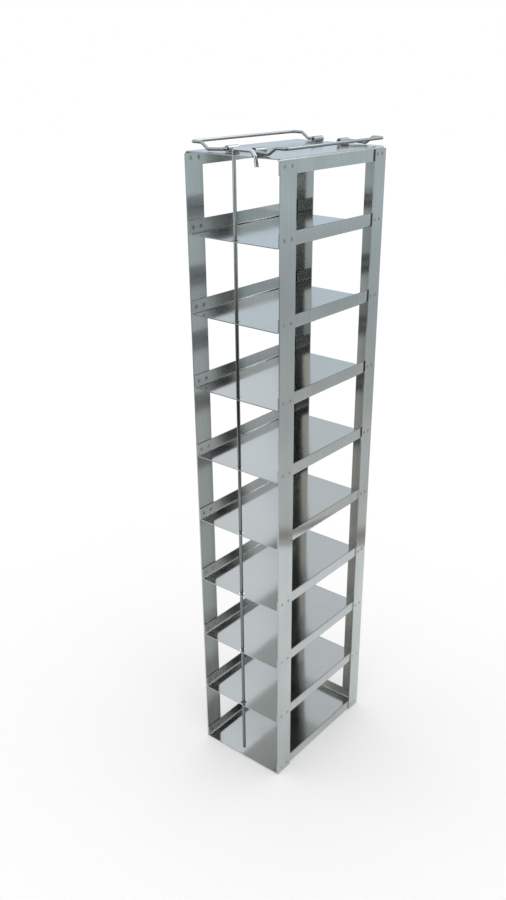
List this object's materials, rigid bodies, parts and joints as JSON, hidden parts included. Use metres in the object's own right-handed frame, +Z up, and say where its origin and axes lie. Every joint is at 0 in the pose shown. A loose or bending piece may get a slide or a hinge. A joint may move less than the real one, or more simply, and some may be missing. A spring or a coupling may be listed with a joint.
{
  "type": "vertical freezer rack",
  "caption": "Tall open sheet-metal rack with stacked shelves between corner posts, a lift-out locking rod down the front and folding wire handles on top.",
  "frame": {"origin": "on the floor at the centre of the footprint, at the underside of the bottom pan", "axes": "+Z up, +Y to the back, +X to the right as seen from the open front"},
  "size_m": [0.093, 0.143, 0.5732],
  "materials": {
    "sheet": "brushed stainless sheet",
    "wire": "bright drawn stainless wire"
  },
  "bodies": {
    "rack": {"top_plate": "sheet", "shelf_1": "sheet", "shelf_2": "sheet", "shelf_3": "sheet", "shelf_4": "sheet", "shelf_5": "sheet", "shelf_6": "sheet", "shelf_7": "sheet", "shelf_8": "sheet", "bottom_pan": "sheet", "front_left_post": "sheet", "front_right_post": "sheet", "rear_left_post": "sheet", "rear_right_post": "sheet", "left_front_knuckle": "wire", "left_rear_knuckle": "wire", "right_front_knuckle": "wire", "right_rear_knuckle": "wire"},
    "left_bail": {"left_handle": "wire"},
    "right_bail": {"right_handle": "wire"},
    "rod": {"locking_rod": "wire"}
  },
  "joints": [
    {"name": "left_handle_fold", "type": "hinge", "parent": "rack", "child": "left_bail", "pos_m": [-0.013, 0, 0.56841], "axis": [0, 1, 0], "range_deg": [0, 104.5]},
    {"name": "right_handle_fold", "type": "hinge", "parent": "rack", "child": "right_bail", "pos_m": [0.013, 0, 0.56841], "axis": [0, -1, 0], "range_deg": [0, 104.5]},
    {"name": "locking_rod_pull", "type": "slide", "parent": "rack", "child": "rod", "axis": [0, 0, 1], "range_m": [0, 0.565]}
  ]
}
